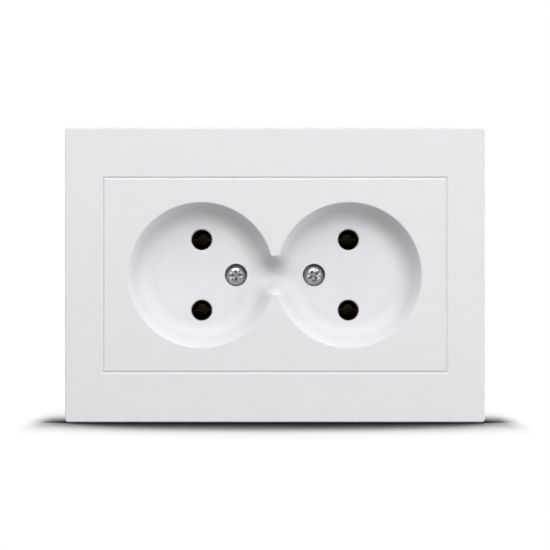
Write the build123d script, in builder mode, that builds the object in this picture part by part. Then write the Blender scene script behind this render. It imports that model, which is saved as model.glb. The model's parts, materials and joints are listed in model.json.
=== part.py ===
from build123d import *

import os
from math import cos, radians, sin, sqrt, tan

# Double flush wall socket for two-pin plugs, on a round wall box.
# The wall is the plane y = 0, the room is on the -Y side and +Z is up. The origin is the middle of
# the pair of box screws. Sizes are in millimetres, angles in degrees.

# Surround frame, measured at its front face
frame_width = 112.2
frame_height = 78.7
frame_wall = 2.0
frame_draft = 1.0
frame_corner_radius = 0.8
frame_edge_radius = 0.35
frame_rib = 1.2
frame_rib_height = 5.0
frame_rib_spacing = 27.0
post_diameter = 4.6
post_spacing_x = 56.0
post_spacing_z = 60.0

# Window in the frame and the cover that fills it
window_width = 91.85
window_height = 52.0
joint_gap = 0.05
joint_bevel_width = 0.45
joint_bevel_depth = 0.2
cover_thickness = 2.4
ledge_width = 1.6
ledge_thickness = 1.6
skirt_wall = 1.5
skirt_length = 4.5
cover_rib = 1.2

# The two round recesses and the neck that joins them
socket_spacing = 39.5
recess_diameter = 38.8
recess_depth = 7.5
recess_draft = 24.0
recess_wall = 1.7
shell_chamfer = 2.0
rim_chamfer = 0.3
floor_bend_radius = 5.0
floor_thickness = 1.8
neck_height = 10.1
neck_tip_radius = 0.7
neck_valley_radius = 2.0
tip_lap = 0.04

# Plug pins and their holes
pin_pitch = 19.0
pin_length = 19.0
pin_hole_diameter = 5.6
pin_hole_chamfer = 0.25

# Cover screws with their captive nuts
cover_screw_spacing = 21.0
cover_screw_diameter = 3.0
cover_screw_length = 14.0
cover_head_diameter = 5.6
cover_head_height = 2.2
cover_head_sink = 0.2
counterbore_diameter = 6.1
screw_boss_diameter = 9.0
nut_width = 5.5
nut_thickness = 2.4
nut_setback = 0.8

# Support plate
plate_width = 96.0
plate_height = 66.0
plate_thickness = 1.0
plate_corner_radius = 4.0
box_slot_length = 6.4
box_slot_width = 3.6
box_slot_margin = 1.1
box_screw_room = 2.5
wall_screw_spacing_x = 80.0
wall_screw_spacing_z = 50.0
wall_screw_hole = 4.2
bead_length = 26.0
bead_width = 4.4
bead_height = 0.8
bead_spacing = 82.0

# Base moulding behind the plate, the plate that closes its front and the terminal block behind it
base_side_wall = 1.75
base_height = 33.0
block_depth = 9.0
base_corner_radius = 7.0
base_edge_chamfer = 0.8
nose_height = 30.0
retainer_thickness = 2.0
retainer_rib_length = 3.0
retainer_rib_spacing = 6.0
retainer_screw_diameter = 2.2
retainer_screw_length = 22.0
retainer_head_diameter = 4.2
lug_spacing_x = 32.0
lug_radius = 3.2
lug_thickness = 2.5
rivet_diameter = 2.5
rivet_head_diameter = 4.4
rivet_head_height = 0.7

# Contact strips with a spring sleeve for each pin
strip_width = 5.2
strip_thickness = 0.8
strip_overhang = 2.9
sleeve_setback = 1.8
sleeve_wall = 0.6
sleeve_waist_radius = 1.6
sleeve_mouth_radius = 2.7
sleeve_flare_length = 2.6
sleeve_slit_width = 0.7
sleeve_slit_length = 8.5
chamber_radius = 4.0

# Rear terminals
terminal_spacing = 19.0
terminal_screw_diameter = 3.5
terminal_screw_length = 6.5
terminal_head_diameter = 6.0
terminal_head_height = 2.2
clamp_width = 7.4
clamp_thickness = 1.2
clamp_lip = 0.8
clamp_gap = 1.0
well_width = 8.8
wire_entry_width = 4.6

# Claws that spread inside the wall box, each on its own screw
claw_sheet = 1.4
claw_width = 9.0
claw_knuckle_radius = 2.2
claw_knuckle_width = 11.8
claw_bend_radius = 1.6
claw_tab_length = 9.4
claw_leg_length = 13.3
claw_tooth_height = 7.6
claw_tooth_depth = 2.2
claw_tooth_count = 3
claw_pivot_height = 19.2
claw_pivot_depth = 4.4
claw_lever = 5.5
claw_swing = 20.0
claw_screw_diameter = 3.0
claw_screw_length = 12.5
claw_head_diameter = 5.6
claw_head_height = 2.0
claw_pin_diameter = 2.0
claw_pin_head_diameter = 3.4
claw_pin_head_height = 0.6
ear_thickness = 1.0
ear_radius = 2.4
ear_opening_margin = 0.3

# Screw drives: a slot, with a cross through it on the cover screws
cross_span = 3.0
cross_width = 0.85
cross_depth = 1.5
cross_taper = 8.0
slot_width = 0.8
slot_depth = 0.9
screw_end_chamfer = 0.4
head_chamfer = 0.7

# Fits
fit_gap = 0.1
loose_gap = 0.2
pin_clearance = 0.06

# Depths from the wall that follow from the sizes above, negative towards the room
frame_depth = recess_depth + floor_thickness + box_screw_room + plate_thickness
front = -frame_depth
floor_front = front + recess_depth
floor_back = floor_front + floor_thickness
base_front = floor_back + retainer_thickness
ledge_front = front + cover_thickness
ledge_back = ledge_front + ledge_thickness
head_seat = floor_front + cover_head_sink + cover_head_height
boss_back = base_front - fit_gap
nut_back = head_seat + cover_screw_length - nut_setback
nut_front = nut_back - nut_thickness
sleeve_front = base_front + sleeve_setback
strip_front = floor_front + pin_length + loose_gap
strip_back = strip_front + strip_thickness
clamp_front = strip_back + clamp_gap
clamp_back = clamp_front + clamp_thickness

# Places that follow from the sizes above
pole_height = pin_pitch / 2
socket_offset = socket_spacing / 2
base_width = socket_spacing + 2 * (chamber_radius + base_side_wall)
claw_screw_height = claw_pivot_height + claw_lever
ear_inside = claw_knuckle_width / 2 + ear_opening_margin
lug_spacing_z = base_height + rivet_head_diameter + 2 * fit_gap
window_clear_width = base_width + 2 * loose_gap
window_clear_height = nose_height + 2 * loose_gap
box_screw_spacing = window_clear_width + box_slot_length + 2 * box_slot_margin
inner_width = window_width - 2 * ledge_width
inner_height = window_height - 2 * ledge_width


def facing_room(depth):
    """Plane parallel to the wall at this depth, with its normal towards the room."""
    return Plane.XZ.offset(-depth)


def save(piece, name):
    """Label a finished piece and write its file."""
    piece.label = name
    export_step(piece, f"parts/{name}.step")


os.makedirs("parts", exist_ok=True)

# Recess wall: a broken rim, a drafted wall, then a wide bend that eases into the flat floor
wall_slope = tan(radians(recess_draft))
wall_turn = 90 - recess_draft
wall_drop = recess_depth - floor_bend_radius * (1 - sin(radians(recess_draft)))


def recess_profile(radius, direction):
    """Half section from the rim to the floor, closed on its axis. Direction -1 narrows, +1 widens."""
    rim_start = (radius + direction * rim_chamfer * (wall_slope - 1), front)
    rim_end = (radius + direction * rim_chamfer * wall_slope, front + rim_chamfer)
    Line(rim_start, rim_end)
    wall = Line(rim_end, (radius + direction * wall_drop * wall_slope, front + wall_drop))
    bend = JernArc(wall @ 1, wall % 1, floor_bend_radius, -direction * wall_turn)
    Polyline(bend @ 1, (0, floor_front), (0, front), rim_start)


# The neck lies between four rounded tips. Each tip's axis is tangent to a recess and to the neck.
tip_reach = recess_diameter / 2 + neck_tip_radius - tip_lap
tip_z = neck_height / 2 + neck_tip_radius
tip_x = socket_offset - sqrt(tip_reach**2 - tip_z**2)
neck_share = recess_diameter / 4 / tip_reach
neck_x = tip_x + neck_share * (socket_offset - tip_x)
neck_z = tip_z - neck_share * tip_z

with BuildPart() as neck_space:
    with BuildSketch(facing_room(front)):
        with BuildLine():
            upper = Polyline((-neck_x, neck_z), (-tip_x, tip_z), (tip_x, tip_z), (neck_x, neck_z))
            lower = Polyline((-neck_x, -neck_z), (-tip_x, -tip_z), (tip_x, -tip_z), (neck_x, -neck_z))
            Line(upper @ 0, lower @ 0)
            Line(upper @ 1, lower @ 1)
        make_face()
    extrude(amount=-recess_depth)
    for side_x in (-1, 1):
        for side_z in (-1, 1):
            tip = Vector(side_x * tip_x, 0, side_z * tip_z)
            with BuildSketch(Plane(tip)):
                with BuildLine():
                    recess_profile(neck_tip_radius, 1)
                make_face()
            revolve(axis=Axis(tip, (0, 1, 0)), mode=Mode.SUBTRACT)
    for side_z in (-1, 1):
        flank = Plane((-side_z * tip_x, 0, side_z * tip_z), x_dir=(0, 0, -side_z), z_dir=(side_z, 0, 0))
        with BuildSketch(flank):
            with BuildLine():
                recess_profile(neck_tip_radius, 1)
            make_face()
        extrude(amount=2 * tip_x, mode=Mode.SUBTRACT)
    # Where the two flanks meet above the floor, their crease is rounded
    valley = [edge for edge in neck_space.edges() if all(abs(end.Z) < tip_lap for end in edge.vertices())]
    if valley:
        fillet(valley, neck_valley_radius)

# Socket cover: a flat flange with both recesses moulded through it
cover_width = window_width - 2 * joint_gap
cover_height = window_height - 2 * joint_gap
skirt_width = inner_width - 2 * joint_gap
skirt_height = inner_height - 2 * joint_gap
shell_offset = recess_wall / cos(radians(recess_draft))
shell_drop = (recess_depth + floor_thickness) * wall_slope
shell_top = recess_diameter / 2 + shell_offset
trough_top = neck_height / 2 + shell_offset

with BuildPart() as socket_cover:
    with BuildSketch(facing_room(front)):
        Rectangle(cover_width, cover_height)
    extrude(amount=-cover_thickness)
    cover_face = socket_cover.faces().sort_by(Axis.Y)[0]
    chamfer(cover_face.edges(), joint_bevel_width, joint_bevel_depth, reference=cover_face)
    with BuildSketch(facing_room(ledge_front)):
        Rectangle(skirt_width, skirt_height)
        Rectangle(skirt_width - 2 * skirt_wall, skirt_height - 2 * skirt_wall, mode=Mode.SUBTRACT)
        Rectangle(cover_rib, skirt_height - skirt_wall)
        with Locations((-socket_offset, 0), (socket_offset, 0)):
            Rectangle(cover_rib, skirt_height - skirt_wall)
        Rectangle(skirt_width - skirt_wall, cover_rib)
    extrude(amount=-skirt_length)
    with BuildSketch(Plane.YZ) as trough:
        with BuildLine():
            Polyline(
                (ledge_front, -trough_top),
                (floor_back, shell_drop - trough_top),
                (floor_back, trough_top - shell_drop),
                (ledge_front, trough_top),
                close=True,
            )
        make_face()
        fillet(trough.vertices().group_by(Axis.Y)[-1], floor_thickness)
    extrude(amount=socket_offset / 2, both=True)
    for side_x in (-1, 1):
        centre = Vector(side_x * socket_offset, 0, 0)
        with BuildSketch(Plane(centre)) as shell:
            with BuildLine():
                Polyline(
                    (0, ledge_front),
                    (shell_top, ledge_front),
                    (shell_top - shell_drop, floor_back),
                    (0, floor_back),
                    close=True,
                )
            make_face()
            chamfer(shell.vertices().sort_by_distance((shell_top, floor_back))[0], shell_chamfer)
        revolve(axis=Axis(centre, (0, 1, 0)))
    with BuildSketch(facing_room(floor_back)):
        with GridLocations(cover_screw_spacing, 0, 2, 1):
            Circle(screw_boss_diameter / 2)
    extrude(amount=floor_back - boss_back)
    for side_x in (-1, 1):
        centre = Vector(side_x * socket_offset, 0, 0)
        with BuildSketch(Plane(centre)):
            with BuildLine():
                recess_profile(recess_diameter / 2, -1)
            make_face()
        revolve(axis=Axis(centre, (0, 1, 0)), mode=Mode.SUBTRACT)
    add(neck_space.part, mode=Mode.SUBTRACT)
    with BuildSketch(facing_room(floor_front)):
        with GridLocations(socket_spacing, pin_pitch, 2, 2):
            Circle(pin_hole_diameter / 2)
    extrude(amount=-floor_thickness, mode=Mode.SUBTRACT)
    with BuildSketch(facing_room(floor_front)):
        with GridLocations(cover_screw_spacing, 0, 2, 1):
            Circle(counterbore_diameter / 2)
    extrude(amount=floor_front - head_seat, mode=Mode.SUBTRACT)
    with BuildSketch(facing_room(head_seat)):
        with GridLocations(cover_screw_spacing, 0, 2, 1):
            Circle(cover_screw_diameter / 2 + loose_gap)
    extrude(amount=head_seat - boss_back, mode=Mode.SUBTRACT)
    with BuildSketch(facing_room(floor_front)):
        with GridLocations(socket_spacing, pin_pitch, 2, 2):
            Circle(pin_hole_diameter / 2 + pin_hole_chamfer)
    extrude(amount=-pin_hole_chamfer, taper=45, mode=Mode.SUBTRACT)
save(socket_cover.part, "socket_cover")

# Surround frame: a skirted shell with a stepped window
with BuildPart() as outer_frame:
    with BuildSketch(facing_room(front)):
        RectangleRounded(frame_width, frame_height, frame_corner_radius)
    extrude(amount=-frame_depth, taper=-frame_draft)
    fillet(outer_frame.faces().sort_by(Axis.Y)[0].edges(), frame_edge_radius)
    with BuildSketch(facing_room(front + frame_wall)):
        Rectangle(frame_width - 2 * frame_wall, frame_height - 2 * frame_wall)
    extrude(amount=frame_wall - frame_depth, taper=-frame_draft, mode=Mode.SUBTRACT)
    with BuildSketch(facing_room(front + frame_wall)):
        Rectangle(window_width + 2 * frame_wall, window_height + 2 * frame_wall)
    extrude(amount=front + frame_wall - ledge_back)
    with BuildSketch(facing_room(front + frame_wall)):
        with GridLocations(frame_rib_spacing, 0, 4, 1):
            Rectangle(frame_rib, frame_height - frame_wall)
        with GridLocations(0, frame_rib_spacing, 1, 2):
            Rectangle(frame_width - frame_wall, frame_rib)
        Rectangle(window_width + frame_wall, window_height + frame_wall, mode=Mode.SUBTRACT)
    extrude(amount=-frame_rib_height)
    with BuildSketch(facing_room(front + frame_wall)):
        with GridLocations(post_spacing_x, post_spacing_z, 2, 2):
            Circle(post_diameter / 2)
    extrude(amount=front + frame_wall + plate_thickness)
    with BuildSketch(facing_room(front)):
        Rectangle(inner_width, inner_height)
    extrude(amount=front - ledge_back, mode=Mode.SUBTRACT)
    with BuildSketch(facing_room(front)):
        Rectangle(window_width, window_height)
    extrude(amount=-cover_thickness, mode=Mode.SUBTRACT)
    frame_face = outer_frame.faces().sort_by(Axis.Y)[0]
    window_edges = frame_face.inner_wires().edges()
    chamfer(window_edges, joint_bevel_width, joint_bevel_depth, reference=frame_face)
save(outer_frame.part, "outer_frame")


def slotted_screw(head_diameter, head_height, shank_diameter, length):
    """Screw with its seat at the origin, its shank along +Y and a slot across its head."""
    shank_radius = shank_diameter / 2
    head_radius = head_diameter / 2
    with BuildPart() as screw:
        with BuildSketch(Plane.XY):
            with BuildLine():
                Polyline(
                    (0, -head_height),
                    (head_radius - head_chamfer, -head_height),
                    (head_radius, head_chamfer - head_height),
                    (head_radius, 0),
                    (shank_radius, 0),
                    (shank_radius, length - screw_end_chamfer),
                    (shank_radius - screw_end_chamfer, length),
                    (0, length),
                    close=True,
                )
            make_face()
        revolve(axis=Axis.Y)
        with BuildSketch(facing_room(-head_height)):
            Rectangle(head_diameter + slot_width, slot_width)
        extrude(amount=-slot_depth, mode=Mode.SUBTRACT)
    return screw.part


# Cover screws, each left at its own angle by the screwdriver
left_screw_angle = -4.0
right_screw_angle = -33.0
with BuildPart() as cover_screw:
    add(slotted_screw(cover_head_diameter, cover_head_height, cover_screw_diameter, cover_screw_length))
    with BuildSketch(facing_room(-cover_head_height)):
        Rectangle(cross_span, cross_width)
        Rectangle(cross_width, cross_span)
    extrude(amount=-cross_depth, taper=cross_taper, mode=Mode.SUBTRACT)

with BuildPart() as cover_screws:
    left_seat = Location((-cover_screw_spacing / 2, head_seat, 0), (0, left_screw_angle, 0))
    right_seat = Location((cover_screw_spacing / 2, head_seat, 0), (0, right_screw_angle, 0))
    with Locations(left_seat, right_seat):
        add(cover_screw.part)
save(cover_screws.part, "cover_screws")

with BuildPart() as cover_nuts:
    with BuildSketch(facing_room(nut_front)):
        with GridLocations(cover_screw_spacing, 0, 2, 1):
            Rectangle(nut_width, nut_width)
            Circle(cover_screw_diameter / 2 + pin_clearance, mode=Mode.SUBTRACT)
    extrude(amount=-nut_thickness)
save(cover_nuts.part, "cover_nuts")

# Support plate: pressed steel with two pairs of ears bent back for the claws
with BuildPart() as support_plate:
    with BuildSketch(facing_room(0)):
        RectangleRounded(plate_width, plate_height, plate_corner_radius)
        RectangleRounded(window_clear_width, window_clear_height, base_corner_radius, mode=Mode.SUBTRACT)
        with GridLocations(box_screw_spacing, 0, 2, 1):
            SlotOverall(box_slot_length, box_slot_width, mode=Mode.SUBTRACT)
        with GridLocations(wall_screw_spacing_x, wall_screw_spacing_z, 2, 2):
            Circle(wall_screw_hole / 2, mode=Mode.SUBTRACT)
        with GridLocations(lug_spacing_x, lug_spacing_z, 2, 2):
            Circle(rivet_diameter / 2 + pin_clearance, mode=Mode.SUBTRACT)
        with GridLocations(0, 2 * claw_screw_height, 1, 2):
            Circle(claw_screw_diameter / 2 + loose_gap, mode=Mode.SUBTRACT)
        with GridLocations(0, 2 * claw_pivot_height, 1, 2):
            Rectangle(2 * ear_inside, 2 * ear_radius + ear_opening_margin, mode=Mode.SUBTRACT)
    extrude(amount=plate_thickness)
    for ear_x in (-ear_inside - ear_thickness, ear_inside):
        with BuildSketch(Plane.YZ.offset(ear_x)):
            with Locations((claw_pivot_depth, -claw_pivot_height), (claw_pivot_depth, claw_pivot_height)):
                Circle(ear_radius)
                Rectangle(claw_pivot_depth, 2 * ear_radius, align=(Align.MAX, Align.CENTER))
                Circle(claw_pin_diameter / 2 + pin_clearance, mode=Mode.SUBTRACT)
        extrude(amount=ear_thickness)
    with BuildSketch(facing_room(-plate_thickness)):
        with GridLocations(bead_spacing, 0, 2, 1):
            SlotOverall(bead_length, bead_width, rotation=90)
    extrude(amount=bead_height, taper=45)
    with BuildSketch(facing_room(0)):
        with GridLocations(bead_spacing, 0, 2, 1):
            SlotOverall(bead_length - plate_thickness, bead_width - plate_thickness, rotation=90)
    extrude(amount=bead_height, taper=45, mode=Mode.SUBTRACT)
save(support_plate.part, "support_plate")

# Base moulding: two contact channels and a pocket behind each nut's seat
channel_width = strip_width + 2 * loose_gap
channel_length = socket_spacing + 2 * strip_overhang + 2 * loose_gap

with BuildPart() as base_housing:
    with BuildSketch(facing_room(0)):
        RectangleRounded(base_width, base_height, base_corner_radius)
    extrude(amount=-strip_back)
    with BuildSketch(facing_room(0)):
        RectangleRounded(base_width, nose_height, base_corner_radius)
    extrude(amount=-base_front)
    with BuildSketch(facing_room(0)):
        with GridLocations(lug_spacing_x, lug_spacing_z, 2, 2):
            Circle(lug_radius)
        with GridLocations(lug_spacing_x, 0, 2, 1):
            Rectangle(2 * lug_radius, lug_spacing_z)
        with GridLocations(lug_spacing_x, lug_spacing_z, 2, 2):
            Circle(rivet_diameter / 2 + pin_clearance, mode=Mode.SUBTRACT)
    extrude(amount=-lug_thickness)
    with BuildSketch(facing_room(base_front)):
        with GridLocations(0, pin_pitch, 1, 2):
            Rectangle(channel_length, channel_width)
        with GridLocations(socket_spacing, pin_pitch, 2, 2):
            Circle(chamber_radius)
        with GridLocations(cover_screw_spacing, 0, 2, 1):
            Circle(cover_screw_diameter / 2 + loose_gap)
        Circle(retainer_screw_diameter / 2 + pin_clearance)
    extrude(amount=base_front - strip_back, mode=Mode.SUBTRACT)
    with BuildSketch(facing_room(nut_front)):
        with GridLocations(cover_screw_spacing, 0, 2, 1):
            Rectangle(nut_width + 2 * fit_gap, nut_width + 2 * fit_gap)
    extrude(amount=nut_front - strip_back, mode=Mode.SUBTRACT)
save(base_housing.part, "base_housing")

# Terminal block: carries the contact strips, with a well and a wire entry for each terminal
entry_depth = (base_height - pin_pitch) / 2
entry_end = clamp_front + wire_entry_width / 2

with BuildPart() as terminal_block:
    with BuildSketch(facing_room(strip_back)):
        RectangleRounded(base_width, base_height, base_corner_radius)
    extrude(amount=-block_depth)
    chamfer(terminal_block.faces().sort_by(Axis.Y)[-1].edges(), base_edge_chamfer)
    with BuildSketch(facing_room(strip_back)):
        with GridLocations(terminal_spacing, pin_pitch, 2, 2):
            Rectangle(well_width, well_width)
    extrude(amount=-block_depth, mode=Mode.SUBTRACT)
    for side_z in (-1, 1):
        with BuildSketch(Plane.XY.offset(side_z * base_height / 2)):
            with Locations((-terminal_spacing / 2, entry_end), (terminal_spacing / 2, entry_end)):
                Circle(wire_entry_width / 2)
                Rectangle(wire_entry_width, block_depth, align=(Align.CENTER, Align.MIN))
        extrude(amount=-side_z * entry_depth, mode=Mode.SUBTRACT)
    with BuildSketch(facing_room(strip_back)):
        Circle(retainer_screw_diameter / 2 + pin_clearance)
    extrude(amount=strip_back - base_front - retainer_screw_length, mode=Mode.SUBTRACT)
save(terminal_block.part, "terminal_block")

# Retainer plate: closes the channels and holds the contact strips down with four ribs. Its screw
# passes through the base into the terminal block.
retainer_width = base_width - 2 * loose_gap
retainer_height = nose_height - 2 * loose_gap
retainer_head_height = (retainer_head_diameter - retainer_screw_diameter) / 2
retainer_head_front = floor_back + fit_gap
retainer_tip = base_front + retainer_screw_length - fit_gap

with BuildPart() as contact_retainer:
    with BuildSketch(facing_room(floor_back)):
        RectangleRounded(retainer_width, retainer_height, base_corner_radius)
        with GridLocations(socket_spacing, pin_pitch, 2, 2):
            Circle(pin_hole_diameter / 2 + loose_gap, mode=Mode.SUBTRACT)
        with GridLocations(cover_screw_spacing, 0, 2, 1):
            Circle(screw_boss_diameter / 2 + loose_gap, mode=Mode.SUBTRACT)
        Circle(retainer_screw_diameter / 2 + pin_clearance, mode=Mode.SUBTRACT)
    extrude(amount=-retainer_thickness)
    with BuildSketch(facing_room(base_front)):
        with GridLocations(retainer_rib_spacing, pin_pitch, 2, 2):
            Rectangle(retainer_rib_length, strip_width)
    extrude(amount=base_front - strip_front)
    with BuildSketch(Plane.XY):
        with BuildLine():
            Polyline(
                (0, floor_back),
                (retainer_head_diameter / 2 + fit_gap, floor_back),
                (retainer_head_diameter / 2 + fit_gap, retainer_head_front),
                (retainer_screw_diameter / 2 + fit_gap, retainer_head_front + retainer_head_height),
                (0, retainer_head_front + retainer_head_height),
                close=True,
            )
        make_face()
    revolve(axis=Axis.Y, mode=Mode.SUBTRACT)
save(contact_retainer.part, "contact_retainer")

with BuildPart() as retainer_screw:
    with BuildSketch(Plane.XY):
        with BuildLine():
            Polyline(
                (0, retainer_head_front),
                (retainer_head_diameter / 2, retainer_head_front),
                (retainer_screw_diameter / 2, retainer_head_front + retainer_head_height),
                (retainer_screw_diameter / 2, retainer_tip - 2 * retainer_head_height),
                (screw_end_chamfer, retainer_tip),
                (0, retainer_tip),
                close=True,
            )
        make_face()
    revolve(axis=Axis.Y)
    with BuildSketch(facing_room(retainer_head_front)):
        Rectangle(cross_span, cross_width)
        Rectangle(cross_width, cross_span)
    extrude(amount=-slot_depth, taper=cross_taper, mode=Mode.SUBTRACT)
save(retainer_screw.part, "retainer_screw")


def contact_strip(height):
    """One pole: a flat strip, a flared and slit sleeve at each end and two terminal holes."""
    with BuildPart() as contact:
        with BuildSketch(facing_room(strip_front)):
            with Locations((0, height)):
                Rectangle(socket_spacing + 2 * strip_overhang, strip_width)
            with Locations((-terminal_spacing / 2, height), (terminal_spacing / 2, height)):
                Circle(terminal_screw_diameter / 2 + pin_clearance, mode=Mode.SUBTRACT)
        extrude(amount=-strip_thickness)
        for side_x in (-1, 1):
            centre = Vector(side_x * socket_offset, 0, height)
            with BuildSketch(Plane(centre)):
                with BuildLine():
                    Polyline(
                        (sleeve_waist_radius, strip_front),
                        (sleeve_waist_radius, sleeve_front + sleeve_flare_length),
                        (sleeve_mouth_radius, sleeve_front),
                        (sleeve_mouth_radius + sleeve_wall, sleeve_front),
                        (sleeve_waist_radius + sleeve_wall, sleeve_front + sleeve_flare_length),
                        (sleeve_waist_radius + sleeve_wall, strip_front),
                        close=True,
                    )
                make_face()
            revolve(axis=Axis(centre, (0, 1, 0)))
            with BuildSketch(facing_room(sleeve_front)):
                with Locations((centre.X, height)):
                    Rectangle(2 * chamber_radius, sleeve_slit_width)
            extrude(amount=-sleeve_slit_length, mode=Mode.SUBTRACT)
    return contact.part


line_contact = contact_strip(pole_height)
save(line_contact, "line_contact")

neutral_contact = contact_strip(-pole_height)
save(neutral_contact, "neutral_contact")

# Terminal screws and clamps, reached from behind
terminal_screw = slotted_screw(
    terminal_head_diameter, terminal_head_height, terminal_screw_diameter, terminal_screw_length
)

with BuildPart() as terminal_screws:
    for terminal_x in (-terminal_spacing / 2, terminal_spacing / 2):
        for terminal_z in (-pole_height, pole_height):
            with Locations(Location((terminal_x, clamp_back, terminal_z), (0, 0, 180))):
                add(terminal_screw)
save(terminal_screws.part, "terminal_screws")

with BuildPart() as terminal_clamp:
    with BuildSketch(facing_room(clamp_front)):
        Rectangle(clamp_width, clamp_width)
        Circle(terminal_screw_diameter / 2 + pin_clearance, mode=Mode.SUBTRACT)
    extrude(amount=-clamp_thickness)
    with BuildSketch(facing_room(clamp_front)):
        with GridLocations(clamp_width - clamp_thickness, 0, 2, 1):
            Rectangle(clamp_thickness, clamp_width)
    extrude(amount=clamp_lip)

for row, clamp_z in (("upper", pole_height), ("lower", -pole_height)):
    for column, clamp_x in (("left", -terminal_spacing / 2), ("right", terminal_spacing / 2)):
        with BuildPart() as placed_clamp:
            with Locations((clamp_x, 0, clamp_z)):
                add(terminal_clamp.part)
        save(placed_clamp.part, f"terminal_clamp_{row}_{column}")

# Rivets that hold the base to the plate
with BuildPart() as plate_rivets:
    with BuildSketch(facing_room(lug_thickness)):
        with GridLocations(lug_spacing_x, lug_spacing_z, 2, 2):
            Circle(rivet_diameter / 2)
    extrude(amount=lug_thickness + plate_thickness)
    for head_plane in (facing_room(-plate_thickness), facing_room(lug_thickness + rivet_head_height)):
        with BuildSketch(head_plane):
            with GridLocations(lug_spacing_x, lug_spacing_z, 2, 2):
                Circle(rivet_head_diameter / 2)
        extrude(amount=rivet_head_height)
save(plate_rivets.part, "plate_rivets")

# Claw: a knuckle on the pin, a slotted tab for the screw and a leg that ends in teeth
slot_inner = claw_lever - claw_screw_diameter / 2 - loose_gap
slot_outer = (claw_lever + claw_screw_diameter / 2) / cos(radians(claw_swing)) + claw_sheet * tan(
    radians(claw_swing)
)
tooth_pitch = claw_width / claw_tooth_count
tooth_side = sqrt(claw_tooth_depth**2 + tooth_pitch**2 / 4)

with BuildPart() as claw_upper:
    pivot = Plane((0, claw_pivot_depth, claw_pivot_height), x_dir=(0, 1, 0), z_dir=(1, 0, 0))
    with BuildSketch(pivot):
        with BuildLine():
            FilletPolyline(
                (0, 0), (claw_leg_length, 0), (claw_leg_length, claw_tooth_height), radius=claw_bend_radius
            )
            Line((0, 0), (0, claw_tab_length))
        trace(line_width=claw_sheet)
    extrude(amount=claw_width / 2, both=True)
    with BuildSketch(pivot):
        Circle(claw_knuckle_radius)
    extrude(amount=claw_knuckle_width / 2, both=True)
    with BuildSketch(pivot):
        Circle(claw_pin_diameter / 2 + pin_clearance)
    extrude(amount=claw_knuckle_width / 2, both=True, mode=Mode.SUBTRACT)
    with BuildSketch(facing_room(claw_pivot_depth)):
        with Locations((0, claw_pivot_height + (slot_inner + slot_outer) / 2)):
            SlotOverall(slot_outer - slot_inner, claw_screw_diameter + 2 * fit_gap, rotation=90)
    extrude(amount=claw_sheet, both=True, mode=Mode.SUBTRACT)
    with BuildSketch(facing_room(claw_pivot_depth + claw_leg_length)):
        with Locations((0, claw_pivot_height + claw_tooth_height)):
            with GridLocations(tooth_pitch, 0, claw_tooth_count + 1, 1):
                Triangle(a=tooth_pitch, b=tooth_side, c=tooth_side, rotation=180)
    extrude(amount=claw_sheet, both=True, mode=Mode.SUBTRACT)
save(claw_upper.part, "claw_upper")

with BuildPart() as claw_lower:
    add(mirror(claw_upper.part, about=Plane.XY, mode=Mode.PRIVATE))
save(claw_lower.part, "claw_lower")

# Claw screws and pivot pins
claw_screw = slotted_screw(claw_head_diameter, claw_head_height, claw_screw_diameter, claw_screw_length)
claw_pin_length = 2 * (ear_inside + ear_thickness)

with BuildPart() as claw_pin:
    Cylinder(claw_pin_diameter / 2, claw_pin_length, rotation=(0, 90, 0))
    with GridLocations(claw_pin_length + claw_pin_head_height, 0, 2, 1):
        Cylinder(claw_pin_head_diameter / 2, claw_pin_head_height, rotation=(0, 90, 0))

for side, name in ((1, "upper"), (-1, "lower")):
    with BuildPart() as placed_screw:
        with Locations((0, -plate_thickness, side * claw_screw_height)):
            add(claw_screw)
    save(placed_screw.part, f"claw_screw_{name}")
    with BuildPart() as placed_pin:
        with Locations((0, claw_pivot_depth, side * claw_pivot_height)):
            add(claw_pin.part)
    save(placed_pin.part, f"claw_pin_{name}")
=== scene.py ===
"""Looks of the double wall socket: finishes, turned screws and rivets, and a straight-on studio view."""

import json
import math
from typing import NamedTuple

import bmesh
import bpy
from mathutils import Matrix, Vector


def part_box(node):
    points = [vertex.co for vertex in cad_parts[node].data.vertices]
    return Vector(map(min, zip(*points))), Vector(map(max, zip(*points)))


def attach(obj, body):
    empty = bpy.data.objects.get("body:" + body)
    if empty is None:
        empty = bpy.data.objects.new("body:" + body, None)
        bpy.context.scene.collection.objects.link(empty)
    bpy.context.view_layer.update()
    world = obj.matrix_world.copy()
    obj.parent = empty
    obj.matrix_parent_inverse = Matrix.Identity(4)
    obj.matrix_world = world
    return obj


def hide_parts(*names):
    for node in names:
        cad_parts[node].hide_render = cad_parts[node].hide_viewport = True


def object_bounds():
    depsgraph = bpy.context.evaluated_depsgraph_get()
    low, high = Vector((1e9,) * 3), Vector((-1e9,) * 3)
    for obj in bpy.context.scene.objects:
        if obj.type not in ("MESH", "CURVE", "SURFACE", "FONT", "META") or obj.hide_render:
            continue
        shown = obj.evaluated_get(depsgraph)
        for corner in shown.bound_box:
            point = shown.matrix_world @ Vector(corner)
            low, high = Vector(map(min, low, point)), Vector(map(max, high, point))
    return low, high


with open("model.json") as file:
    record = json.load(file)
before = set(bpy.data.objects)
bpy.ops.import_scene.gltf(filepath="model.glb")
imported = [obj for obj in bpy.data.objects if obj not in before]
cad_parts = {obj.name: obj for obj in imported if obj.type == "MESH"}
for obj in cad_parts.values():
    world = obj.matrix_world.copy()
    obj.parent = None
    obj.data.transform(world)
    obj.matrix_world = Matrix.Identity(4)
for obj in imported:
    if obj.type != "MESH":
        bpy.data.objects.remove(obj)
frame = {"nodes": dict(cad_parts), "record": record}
cad_low, cad_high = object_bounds()
scene = bpy.context.scene
MM = 0.001


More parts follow.
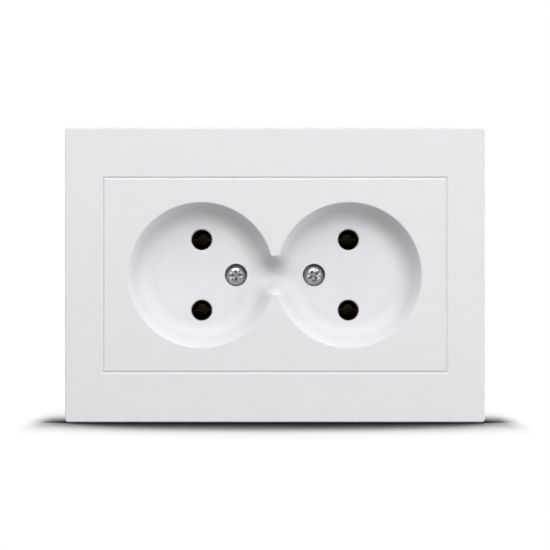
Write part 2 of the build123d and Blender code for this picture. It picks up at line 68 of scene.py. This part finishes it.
class Screw(NamedTuple):
    """Sizes of one kind of screw in metres. A screw with no cross has only a slot.

    The side share is the straight side's share of the head's height. A fullness of 2 makes the dome
    an ellipse, and more makes it fuller.
    """

    head_height: float
    side_share: float
    fullness: float
    shank_radius: float
    pitch: float
    slot_width: float
    slot_depth: float
    cross_span: float = 0.0
    cross_width: float = 0.0
    cross_depth: float = 0.0


# The photograph: straight on, from about a metre away
PHOTO_PIXELS = 550
PIXELS_PER_MM = 3.74
CAMERA_DISTANCE = 1.0
SENSOR_WIDTH = 36.0

# Soft boxes: where each stands from the socket (metres right, towards the room, up), its width and
# height in metres, and its watts. The front ones fill in from round the camera and aren't mirrored in metal.
LAMPS = {
    "front": ((-0.05, 1.00, 0.57), (0.4, 0.4), 5.2),
    "front_right": ((0.60, 0.95, 0.30), (0.4, 0.4), 4.1),
    "top": ((-0.20, 0.67, 0.79), (1.2, 0.4), 4.6),
    "top_edge": ((-0.37, 0.19, 1.02), (0.3, 0.3), 2.2),
    "right_edge": ((1.08, 0.20, 0.18), (0.3, 0.3), 2.9),
    "rear_right": ((0.70, -0.90, 0.60), (0.6, 0.4), 6.0),
    "rear_left": ((-0.80, -0.80, 0.50), (0.6, 0.4), 4.0),
}
UNMIRRORED = {"front", "front_right"}

# The world: its even light, and the dark spot that metal mirrors round the camera
AMBIENT = 0.02
CAMERA_GREY = 0.03
CAMERA_SPREAD = 0.3

# Floor and the soft shadow painted on it; the curve gives the painted grey for each share of open sky
FLOOR_SIDE = 8.0
FLOOR_BOUNCE = 0.3
SHADOW_REACH = 120 * MM
SHADOW_SAMPLES = 16
SHADOW_CURVE = ((0.51, 0.005), (0.70, 0.07), (0.79, 0.25), (0.85, 0.76), (0.91, 1.0))
SHADOW_FADE = (5 * MM, 11 * MM)
SHADOW_BEHIND_REACH = 40 * MM
SHADOW_BEHIND_GREY = 0.5

# Painted shade in drives, recesses and sleeves: how far it reaches, and the share by which it darkens the
# colour
SHADE_SAMPLES = 16
DRIVE_REACHES = (0.5 * MM, 0.8 * MM)
DRIVE_SHADE = 0.9
RECESS_REACH = 7 * MM
RECESS_SHADE = 0.45
SLEEVE_REACH = 8 * MM
SLEEVE_SHADE = 0.88

# Blended shading on the neck: how far round its middle and how far below the front it fades
NECK_ROUND = (6 * MM, 7.3 * MM)
NECK_DEPTH = (0.5 * MM, 1.5 * MM)
NECK_BLEND = 4.5 * MM
NECK_SAMPLES = 12

# Finishes: the values that most of a noise lies between, the zinc crystals and the white's gloss
TEXTURE_LOW = 0.3
TEXTURE_HIGH = 0.7
CRYSTAL_SIZE = 3.2 * MM
WHITE_SPECULAR = 0.3

# Turned pieces: sides, rows for each turn of a thread, thread depth in pitches, and steps of a dome
SEGMENTS = 64
ROWS_PER_TURN = 8
THREAD_DEPTH = 0.6
DOME_STEPS = 14
END_CHAMFER = 0.4 * MM
SHARP_ANGLE = math.radians(32)

# Drive cutters: the slot's length in head radii, and how far a cutter narrows towards its bottom
SLOT_REACH = 4
DRIVE_TAPER = 0.72

# Ticks between the arms of a cross: length and offset in spans, width in arm widths, depth in slot depths
TICK_LENGTH = 0.28
TICK_OFFSET = 0.47
TICK_WIDTH = 0.4
TICK_DEPTH = 0.75

# Screws, and the degrees that they were left at
COVER_SCREW = Screw(
    head_height=2.2 * MM,
    side_share=0.12,
    fullness=2.0,
    shank_radius=1.5 * MM,
    pitch=0.5 * MM,
    slot_width=0.8 * MM,
    slot_depth=0.75 * MM,
    cross_span=3.1 * MM,
    cross_width=1.0 * MM,
    cross_depth=1.5 * MM,
)
COVER_ANGLES = {"left": -4.0, "right": -33.0}
TERMINAL_SCREW = Screw(
    head_height=2.2 * MM,
    side_share=0.3,
    fullness=2.4,
    shank_radius=1.75 * MM,
    pitch=0.6 * MM,
    slot_width=0.9 * MM,
    slot_depth=0.9 * MM,
    cross_span=3.3 * MM,
    cross_width=0.9 * MM,
    cross_depth=1.4 * MM,
)
TERMINAL_ANGLES = (12.0, -38.0, 64.0, 27.0)
CLAW_SCREW = Screw(
    head_height=2.0 * MM,
    side_share=0.3,
    fullness=2.4,
    shank_radius=1.5 * MM,
    pitch=0.5 * MM,
    slot_width=0.9 * MM,
    slot_depth=0.9 * MM,
)

# Rivets, with the same dome on both ends
RIVET_HEAD_HEIGHT = 0.7 * MM
RIVET_HEAD_RADIUS = 2.2 * MM
RIVET_SIDE_SHARE = 0.15
RIVET_FULLNESS = 2.1
RIVET_SHANK_RADIUS = 1.25 * MM

# Rows and columns of repeated pieces, with the side of the middle that each lies on
ROWS = {"upper": 1, "lower": -1}
COLUMNS = {"left": -1, "right": 1}


def grey(level):
    """A grey of this level as an opaque colour."""
    return (level, level, level, 1.0)


WHITE = grey(1.0)


def add_node(tree, kind, **inputs):
    """Add a shader node and set its unlinked inputs; an underscore in a keyword stands for a space."""
    node = tree.nodes.new(kind)
    for label, value in inputs.items():
        node.inputs[label.replace("_", " ")].default_value = value
    return node


def calculate(tree, operation, *values):
    """Result of a Math node's operation on these values."""
    node = tree.nodes.new("ShaderNodeMath")
    node.operation = operation
    for value, socket in zip(values, node.inputs):
        tree.links.new(value, socket)
    return node.outputs["Value"]


def map_range(tree, value, **limits):
    """A value carried over from one range to another and held at its ends."""
    node = add_node(tree, "ShaderNodeMapRange", **limits)
    tree.links.new(value, node.inputs["Value"])
    return node.outputs["Result"]


def own_place(tree):
    """Position in the piece's own frame."""
    return tree.nodes.new("ShaderNodeTexCoord").outputs["Object"]


def split_axes(tree, vector):
    """The X, Y and Z of a vector."""
    axes = tree.nodes.new("ShaderNodeSeparateXYZ")
    tree.links.new(vector, axes.inputs["Vector"])
    return axes.outputs


def speckle(tree, size, detail=2.0, stretch=(1.0, 1.0, 1.0)):
    """Noise in the piece's own frame whose grains are about this many metres across."""
    mapping = add_node(tree, "ShaderNodeMapping", Scale=stretch)
    noise = add_node(tree, "ShaderNodeTexNoise", Scale=1 / size, Detail=detail)
    tree.links.new(own_place(tree), mapping.inputs["Vector"])
    tree.links.new(mapping.outputs["Vector"], noise.inputs["Vector"])
    return noise.outputs["Fac"]


def tint(tree, value, shader, dark, light):
    """Let a texture move the shader's colour between dark and light."""
    ramp = tree.nodes.new("ShaderNodeValToRGB")
    first, last = ramp.color_ramp.elements
    first.position = TEXTURE_LOW
    first.color = (*dark, 1.0)
    last.position = TEXTURE_HIGH
    last.color = (*light, 1.0)
    tree.links.new(value, ramp.inputs["Fac"])
    tree.links.new(ramp.outputs["Color"], shader.inputs["Base Color"])


def roughen(tree, value, shader, low, high):
    """Let a texture move the shader's roughness between low and high."""
    roughness = map_range(tree, value, From_Min=TEXTURE_LOW, From_Max=TEXTURE_HIGH, To_Min=low, To_Max=high)
    tree.links.new(roughness, shader.inputs["Roughness"])


def relief(tree, value, shader, depth, strength):
    """Let a texture raise the surface by up to this depth in metres."""
    bump = add_node(tree, "ShaderNodeBump", Strength=strength, Distance=depth)
    tree.links.new(value, bump.inputs["Height"])
    tree.links.new(bump.outputs["Normal"], shader.inputs["Normal"])
    return bump


def paint_shade_inside(tree, shader, reach, share):
    """Paint shade into the colour: darken it by up to this share where the piece's own walls within this
    reach close it in.
    """
    colour = shader.inputs["Base Color"].links[0].from_socket
    closeness = add_node(tree, "ShaderNodeAmbientOcclusion", Distance=reach)
    closeness.samples = SHADE_SAMPLES
    closeness.only_local = True
    mix = add_node(tree, "ShaderNodeMixRGB", Fac=share)
    tree.links.new(colour, closeness.inputs["Color"])
    tree.links.new(colour, mix.inputs["Color1"])
    tree.links.new(closeness.outputs["Color"], mix.inputs["Color2"])
    tree.links.new(mix.outputs["Color"], shader.inputs["Base Color"])


def soften_neck(tree, bump):
    """Blend the shading where the neck between the recesses runs into them, below the cover's front face."""
    place = own_place(tree)
    facing = add_node(tree, "ShaderNodeMapping", Scale=(1.0, 0.0, 1.0))
    distance = tree.nodes.new("ShaderNodeVectorMath")
    distance.operation = "LENGTH"
    tree.links.new(place, facing.inputs["Vector"])
    tree.links.new(facing.outputs["Vector"], distance.inputs[0])
    inner, outer = NECK_ROUND
    near = map_range(tree, distance.outputs["Value"], From_Min=outer, From_Max=inner)
    shallow, deep = NECK_DEPTH
    below = map_range(
        tree,
        split_axes(tree, place)["Y"],
        From_Min=cad_low.y + shallow,
        From_Max=cad_low.y + deep,
        To_Max=NECK_BLEND,
    )
    bevel = tree.nodes.new("ShaderNodeBevel")
    bevel.samples = NECK_SAMPLES
    tree.links.new(calculate(tree, "MULTIPLY", near, below), bevel.inputs["Radius"])
    tree.links.new(bevel.outputs["Normal"], bump.inputs["Normal"])


def new_material(name, metallic):
    """A node material with its Principled shader."""
    material = bpy.data.materials.new(name)
    material.use_nodes = True
    shader = material.node_tree.nodes["Principled BSDF"]
    shader.inputs["Metallic"].default_value = metallic
    return material, material.node_tree, shader


def white_plastic():
    """Satin white moulding with a faint grain and faint clouding, and painted shade where its own walls
    close it in, as in the recesses.
    """
    material, tree, shader = new_material("white_moulding", metallic=0.0)
    clouds = speckle(tree, size=6 * MM)
    tint(tree, clouds, shader, dark=(0.742, 0.742, 0.766), light=(0.754, 0.754, 0.778))
    roughen(tree, speckle(tree, size=0.8 * MM), shader, low=0.42, high=0.50)
    shader.inputs["Specular IOR Level"].default_value = WHITE_SPECULAR
    bump = relief(tree, speckle(tree, size=0.25 * MM), shader, depth=0.004 * MM, strength=0.25)
    soften_neck(tree, bump)
    # Painted shade in the recesses and the neck, darkening the colour where the cover's own walls close it
    # in
    paint_shade_inside(tree, shader, RECESS_REACH, RECESS_SHADE)
    return material


def black_plastic():
    """Matt black moulding with a spark-eroded grain."""
    material, tree, shader = new_material("black_moulding", metallic=0.0)
    clouds = speckle(tree, size=2 * MM)
    tint(tree, clouds, shader, dark=(0.016, 0.016, 0.017), light=(0.026, 0.026, 0.027))
    roughen(tree, speckle(tree, size=0.7 * MM), shader, low=0.42, high=0.58)
    relief(tree, speckle(tree, size=0.35 * MM, detail=4.0), shader, depth=0.03 * MM, strength=0.5)
    return material


def zinc_screw():
    """Bright zinc plating with fine marks, and painted shade in the drives."""
    material, tree, shader = new_material("bright_zinc", metallic=1.0)
    marks = speckle(tree, size=0.6 * MM)
    tint(tree, marks, shader, dark=(0.70, 0.72, 0.77), light=(0.80, 0.82, 0.87))
    roughen(tree, speckle(tree, size=0.3 * MM), shader, low=0.22, high=0.34)
    relief(tree, speckle(tree, size=0.2 * MM), shader, depth=0.006 * MM, strength=0.35)
    # Painted shade in the cross and slot, darkening the colour where the head's own walls close it in
    for reach in DRIVE_REACHES:
        paint_shade_inside(tree, shader, reach, DRIVE_SHADE)
    return material


def galvanised_steel():
    """Zinc-coated sheet with faint crystals and rolling marks."""
    material, tree, shader = new_material("zinc_coated_sheet", metallic=1.0)
    crystals = add_node(tree, "ShaderNodeTexVoronoi", Scale=1 / CRYSTAL_SIZE)
    brightness = tree.nodes.new("ShaderNodeRGBToBW")
    tree.links.new(own_place(tree), crystals.inputs["Vector"])
    tree.links.new(crystals.outputs["Color"], brightness.inputs["Color"])
    tint(tree, brightness.outputs["Val"], shader, dark=(0.50, 0.51, 0.52), light=(0.62, 0.63, 0.64))
    roughen(tree, brightness.outputs["Val"], shader, low=0.34, high=0.50)
    rolling = speckle(tree, size=0.5 * MM, detail=3.0, stretch=(0.15, 1.0, 1.0))
    relief(tree, rolling, shader, depth=0.012 * MM, strength=0.4)
    return material


def claw_steel():
    """Yellow-passivated steel with a patchy tint."""
    material, tree, shader = new_material("yellow_zinc", metallic=1.0)
    patches = speckle(tree, size=3.5 * MM, detail=3.0)
    tint(tree, patches, shader, dark=(0.50, 0.38, 0.20), light=(0.64, 0.54, 0.33))
    roughen(tree, speckle(tree, size=0.9 * MM), shader, low=0.28, high=0.44)
    rolling = speckle(tree, size=0.4 * MM, detail=3.0, stretch=(1.0, 0.2, 1.0))
    relief(tree, rolling, shader, depth=0.012 * MM, strength=0.4)
    return material


def bronze():
    """Rolled bronze strip, a little dull, with painted shade deep in its sleeves."""
    material, tree, shader = new_material("rolled_bronze", metallic=1.0)
    patches = speckle(tree, size=1.6 * MM, detail=3.0)
    tint(tree, patches, shader, dark=(0.36, 0.24, 0.13), light=(0.52, 0.36, 0.20))
    roughen(tree, speckle(tree, size=0.5 * MM), shader, low=0.30, high=0.46)
    rolling = speckle(tree, size=0.3 * MM, stretch=(0.2, 1.0, 1.0))
    relief(tree, rolling, shader, depth=0.008 * MM, strength=0.3)
    # Painted shade inside the sleeves, darkening the colour where their own walls close them in
    paint_shade_inside(tree, shader, SLEEVE_REACH, SLEEVE_SHADE)
    return material


materials = {
    "white_plastic": white_plastic(),
    "black_plastic": black_plastic(),
    "zinc_screw": zinc_screw(),
    "galvanised_steel": galvanised_steel(),
    "claw_steel": claw_steel(),
    "bronze": bronze(),
}


def dress_solids():
    """Give each solid the material of its slot in the record."""
    for part in frame["record"]["subparts"]:
        slots = frame["nodes"][part["node"]].data.materials
        slots.clear()
        slots.append(materials[part["material_slot"]])


def thread_height(depth, pitch, angle):
    """Height of a sharp thread at this depth and angle, from 0 in the root to 1 on the crest."""
    turn = (depth / pitch - angle / math.tau) % 1.0
    return 1.0 - abs(2.0 * turn - 1.0)


def turned(profile, pitch=0.0):
    """Closed mesh turned about Y.

    The profile lists (radius, depth, thread depth) from the crown to the tip.
    """
    mesh = bmesh.new()
    rings = []
    for radius, depth, cut in profile:
        if radius == 0:
            rings.append([mesh.verts.new((0.0, depth, 0.0))])
            continue
        ring = []
        for step in range(SEGMENTS):
            angle = math.tau * step / SEGMENTS
            reach = radius
            if cut:
                reach -= cut * (1.0 - thread_height(depth, pitch, angle))
            ring.append(mesh.verts.new((reach * math.cos(angle), depth, reach * math.sin(angle))))
        rings.append(ring)
    for above, below in zip(rings, rings[1:]):
        for step in range(SEGMENTS):
            beside = (step + 1) % SEGMENTS
            corners = [above[step % len(above)], above[beside % len(above)]]
            corners += [below[beside % len(below)], below[step % len(below)]]
            mesh.faces.new(list(dict.fromkeys(corners)))
    return mesh


def domed_head(radius, height, side_share, fullness):
    """Profile of a domed head from its crown down to its seat at depth 0."""
    side = height * side_share
    dome = height - side
    points = [(0.0, -height, 0.0)]
    for step in range(1, DOME_STEPS + 1):
        slope = math.radians(90.0 * step / DOME_STEPS)
        across = math.sin(slope) ** (2 / fullness)
        rise = math.cos(slope) ** (2 / fullness) if step < DOME_STEPS else 0.0
        points.append((radius * across, -side - dome * rise, 0.0))
    points.append((radius, 0.0, 0.0))
    return points


def threaded_shank(radius, length, pitch):
    """Profile of a shank from the seat to its flat tip, with its thread fading in and out."""
    rows = int(length / pitch * ROWS_PER_TURN)
    points = []
    for row in range(rows + 1):
        depth = length * row / rows
        taper = max(0.0, depth - (length - END_CHAMFER))
        fade = min(1.0, depth / pitch, (length - depth) / pitch)
        points.append((radius - taper, depth, THREAD_DEPTH * pitch * fade))
    points.append((0.0, length, 0.0))
    return points


def to_object(mesh, name):
    """Turn a bmesh into a linked object with consistent normals."""
    bmesh.ops.recalc_face_normals(mesh, faces=mesh.faces)
    data = bpy.data.meshes.new(name)
    mesh.to_mesh(data)
    mesh.free()
    made = bpy.data.objects.new(name, data)
    scene.collection.objects.link(made)
    return made


def drive_cutter(length, width, depth, top, angle, offset=0.0):
    """Tapered box that cuts one arm of a drive into a head whose crown is at depth top."""
    mesh = bmesh.new()
    turn = Matrix.Rotation(angle, 4, "Y")
    corners = []
    for level, share in ((top - depth, 1.0), (top + depth, DRIVE_TAPER)):
        for across, along in ((-1, -1), (1, -1), (1, 1), (-1, 1)):
            spot = Vector((offset + along * length / 2 * share, level, across * width / 2 * share))
            corners.append(mesh.verts.new(turn @ spot))
    for sides in ((0, 1, 2, 3), (4, 5, 6, 7), (0, 1, 5, 4), (1, 2, 6, 5), (2, 3, 7, 6), (3, 0, 4, 7)):
        mesh.faces.new([corners[i] for i in sides])
    return to_object(mesh, "cutter")


def drive_cutters(kind, radius):
    """Cutters for a slot across the head and, where the screw has one, a cross with its four ticks."""
    top = -kind.head_height
    cutters = [drive_cutter(SLOT_REACH * radius, kind.slot_width, kind.slot_depth, top, 0.0)]
    if kind.cross_span:
        for quarter in range(2):
            arm = quarter * math.pi / 2
            cutters.append(drive_cutter(kind.cross_span, kind.cross_width, kind.cross_depth, top, arm))
        for quarter in range(4):
            tick = math.pi / 4 + quarter * math.pi / 2
            length = kind.cross_span * TICK_LENGTH
            width = kind.cross_width * TICK_WIDTH
            depth = kind.slot_depth * TICK_DEPTH
            cutters.append(drive_cutter(length, width, depth, top, tick, kind.cross_span * TICK_OFFSET))
    return cutters


def carve(made, cutters):
    """Cut each cutter out of the object and keep the plain mesh that results."""
    for cutter in cutters:
        cut = made.modifiers.new("cut", "BOOLEAN")
        cut.operation = "DIFFERENCE"
        cut.solver = "EXACT"
        cut.object = cutter
    depsgraph = bpy.context.evaluated_depsgraph_get()
    carved = bpy.data.meshes.new_from_object(made.evaluated_get(depsgraph))
    made.modifiers.clear()
    made.data = carved
    for cutter in cutters:
        bpy.data.objects.remove(cutter)


def turned_screw(name, kind, radius, length):
    """One screw, its seat at the origin and its shank along +Y."""
    head = domed_head(radius, kind.head_height, kind.side_share, kind.fullness)
    shank = threaded_shank(kind.shank_radius, length, kind.pitch)
    made = to_object(turned(head + shank, kind.pitch), name)
    carve(made, drive_cutters(kind, radius))
    return made


def finish_piece(made, place, body, replaced, slot):
    """Set a piece where its solid stands, smooth it and tie it to its body and finish."""
    made.data.transform(place)
    made.data.shade_smooth()
    made.data.set_sharp_from_angle(angle=SHARP_ANGLE)
    made.data.materials.clear()
    made.data.materials.append(materials[slot])
    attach(made, body)
    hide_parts(replaced)


def add_cover_screws():
    """The two screws that hold the cover, one in each recess."""
    low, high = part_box("cover_screws")
    radius = (high.z - low.z) / 2
    seat = low.y + COVER_SCREW.head_height
    for side, sign in COLUMNS.items():
        screw = turned_screw(f"cover_screw_{side}", COVER_SCREW, radius, high.y - seat)
        centre = Vector((sign * (high.x - radius), seat, 0.0))
        place = Matrix.Translation(centre) @ Matrix.Rotation(math.radians(COVER_ANGLES[side]), 4, "Y")
        finish_piece(screw, place, "socket_body", "cover_screws", "zinc_screw")


def add_terminal_screws():
    """The four terminal screws, each on its clamp with its head to the rear."""
    low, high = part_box("terminal_screws")
    clamp_low, clamp_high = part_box("terminal_clamp_upper_right")
    radius = high.x - (clamp_low.x + clamp_high.x) / 2
    seat = high.y - TERMINAL_SCREW.head_height
    turned_round = Matrix.Rotation(math.pi, 4, "Z")
    corners = [(row, column) for row in ROWS for column in COLUMNS]
    for (row, column), angle in zip(corners, TERMINAL_ANGLES):
        screw = turned_screw(f"terminal_screw_{row}_{column}", TERMINAL_SCREW, radius, seat - low.y)
        clamp_low, clamp_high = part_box(f"terminal_clamp_{row}_{column}")
        middle = (clamp_low + clamp_high) / 2
        place = Matrix.Translation((middle.x, seat, middle.z)) @ turned_round
        place = place @ Matrix.Rotation(math.radians(angle), 4, "Y")
        finish_piece(screw, place, "socket_body", "terminal_screws", "zinc_screw")


def add_claw_screws():
    """The two claw screws, each on its own body."""
    for row in ROWS:
        name = f"claw_screw_{row}"
        low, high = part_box(name)
        seat = low.y + CLAW_SCREW.head_height
        screw = turned_screw(f"claw_screw_turned_{row}", CLAW_SCREW, (high.x - low.x) / 2, high.y - seat)
        place = Matrix.Translation((0.0, seat, (low.z + high.z) / 2))
        finish_piece(screw, place, name, name, "zinc_screw")


def add_rivets():
    """The four rivets that hold the base to the plate."""
    low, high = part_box("plate_rivets")
    grip = high.y - low.y - 2 * RIVET_HEAD_HEIGHT
    head = domed_head(RIVET_HEAD_RADIUS, RIVET_HEAD_HEIGHT, RIVET_SIDE_SHARE, RIVET_FULLNESS)
    far_head = [(radius, grip - depth, 0.0) for radius, depth, _ in reversed(head)]
    shank = [(RIVET_SHANK_RADIUS, 0.0, 0.0), (RIVET_SHANK_RADIUS, grip, 0.0)]
    for row, up in ROWS.items():
        for column, across in COLUMNS.items():
            rivet = to_object(turned(head + shank + far_head), f"rivet_{row}_{column}")
            x = across * (high.x - RIVET_HEAD_RADIUS)
            z = up * (high.z - RIVET_HEAD_RADIUS)
            place = Matrix.Translation((x, low.y + RIVET_HEAD_HEIGHT, z))
            finish_piece(rivet, place, "socket_body", "plate_rivets", "galvanised_steel")


def add_camera(front):
    """Camera at the photograph's viewing angle, level with the middle of the socket."""
    data = bpy.data.cameras.new("camera")
    data.sensor_width = SENSOR_WIDTH
    data.lens = SENSOR_WIDTH * CAMERA_DISTANCE / (PHOTO_PIXELS / PIXELS_PER_MM * MM)
    camera = bpy.data.objects.new("camera", data)
    camera.location = (0.0, front - CAMERA_DISTANCE, 0.0)
    camera.rotation_euler = (math.radians(90), 0.0, 0.0)
    scene.collection.objects.link(camera)
    scene.camera = camera


def add_soft_box(name, place, size, watts):
    """Rectangular area lamp that faces the socket."""
    data = bpy.data.lights.new(name, "AREA")
    data.shape = "RECTANGLE"
    data.size, data.size_y = size
    data.energy = watts
    lamp = bpy.data.objects.new(name, data)
    right, room, up = place
    lamp.location = (right, -room, up)
    lamp.rotation_euler = (-lamp.location).to_track_quat("-Z", "Y").to_euler()
    lamp.visible_glossy = name not in UNMIRRORED
    scene.collection.objects.link(lamp)


def seen_directly(tree):
    """1 for camera, glossy and transmission rays, which see the white background, else 0."""
    path = tree.nodes.new("ShaderNodeLightPath")
    sharp = calculate(tree, "MAXIMUM", path.outputs["Is Glossy Ray"], path.outputs["Is Transmission Ray"])
    return calculate(tree, "MAXIMUM", path.outputs["Is Camera Ray"], sharp)


def add_world():
    """White where it is seen, dark round the camera in reflections, and a faint even light otherwise."""
    world = bpy.data.worlds.new("studio")
    world.use_nodes = True
    scene.world = world
    tree = world.node_tree
    place = tree.nodes.new("ShaderNodeTexCoord")
    direction = split_axes(tree, place.outputs["Generated"])
    to_camera = -1.0
    mirrored = map_range(
        tree,
        direction["Y"],
        From_Min=to_camera,
        From_Max=to_camera + CAMERA_SPREAD,
        To_Min=CAMERA_GREY,
        To_Max=1.0,
    )
    path = tree.nodes.new("ShaderNodeLightPath")
    strength = calculate(tree, "MAXIMUM", mirrored, path.outputs["Is Camera Ray"])
    seen = tree.nodes["Background"]
    seen.inputs["Color"].default_value = WHITE
    tree.links.new(strength, seen.inputs["Strength"])
    light = add_node(tree, "ShaderNodeBackground", Color=WHITE, Strength=AMBIENT)
    mix = tree.nodes.new("ShaderNodeMixShader")
    tree.links.new(seen_directly(tree), mix.inputs["Fac"])
    tree.links.new(light.outputs["Background"], mix.inputs[1])
    tree.links.new(seen.outputs["Background"], mix.inputs[2])
    tree.links.new(mix.outputs["Shader"], tree.nodes["World Output"].inputs["Surface"])


def floor_painted_shadow(tree, half_width):
    """Painted shadow on the floor: dark where the socket stands over it, white past its ends, lighter behind
    it.
    """
    shade = add_node(tree, "ShaderNodeAmbientOcclusion", Distance=SHADOW_REACH)
    shade.samples = SHADOW_SAMPLES
    curve = tree.nodes.new("ShaderNodeValToRGB")
    stops = curve.color_ramp.elements
    while len(stops) < len(SHADOW_CURVE):
        stops.new(1.0)
    for stop, (openness, level) in zip(stops, SHADOW_CURVE):
        stop.position = openness
        stop.color = grey(level)
    tree.links.new(shade.outputs["AO"], curve.inputs["Fac"])
    axes = split_axes(tree, own_place(tree))
    near, far = SHADOW_FADE
    fade = add_node(tree, "ShaderNodeMapRange", From_Min=half_width + near, From_Max=half_width + far)
    tree.links.new(calculate(tree, "ABSOLUTE", axes["X"]), fade.inputs["Value"])
    tree.links.new(curve.outputs["Color"], fade.inputs["To Min"])
    behind = map_range(tree, axes["Y"], From_Max=SHADOW_BEHIND_REACH, To_Max=SHADOW_BEHIND_GREY)
    return calculate(tree, "MAXIMUM", fade.outputs["Result"], behind)


def add_floor(height, half_width):
    """White floor under the lower edge, which glows with its painted shadow where it is seen and gives back
    little light.
    """
    mesh = bmesh.new()
    bmesh.ops.create_grid(mesh, x_segments=1, y_segments=1, size=FLOOR_SIDE / 2)
    floor = to_object(mesh, "floor")
    floor.location = (0.0, 0.0, height)
    material = bpy.data.materials.new("white_floor")
    material.use_nodes = True
    tree = material.node_tree
    tree.nodes.remove(tree.nodes["Principled BSDF"])
    matt = add_node(tree, "ShaderNodeBsdfDiffuse", Color=grey(FLOOR_BOUNCE))
    glow = add_node(tree, "ShaderNodeEmission", Color=WHITE)
    # The floor glows white, darkened by its painted shadow, for camera, glossy and transmission rays
    tree.links.new(floor_painted_shadow(tree, half_width), glow.inputs["Strength"])
    mix = tree.nodes.new("ShaderNodeMixShader")
    tree.links.new(seen_directly(tree), mix.inputs["Fac"])
    tree.links.new(matt.outputs["BSDF"], mix.inputs[1])
    tree.links.new(glow.outputs["Emission"], mix.inputs[2])
    tree.links.new(mix.outputs["Shader"], tree.nodes["Material Output"].inputs["Surface"])
    floor.data.materials.append(material)


dress_solids()
add_cover_screws()
add_terminal_screws()
add_claw_screws()
add_rivets()
add_camera(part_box("outer_frame")[0].y)
for name, (place, size, watts) in LAMPS.items():
    add_soft_box(name, place, size, watts)
add_world()
add_floor(cad_low.z, cad_high.x)
scene.view_settings.view_transform = "Standard"
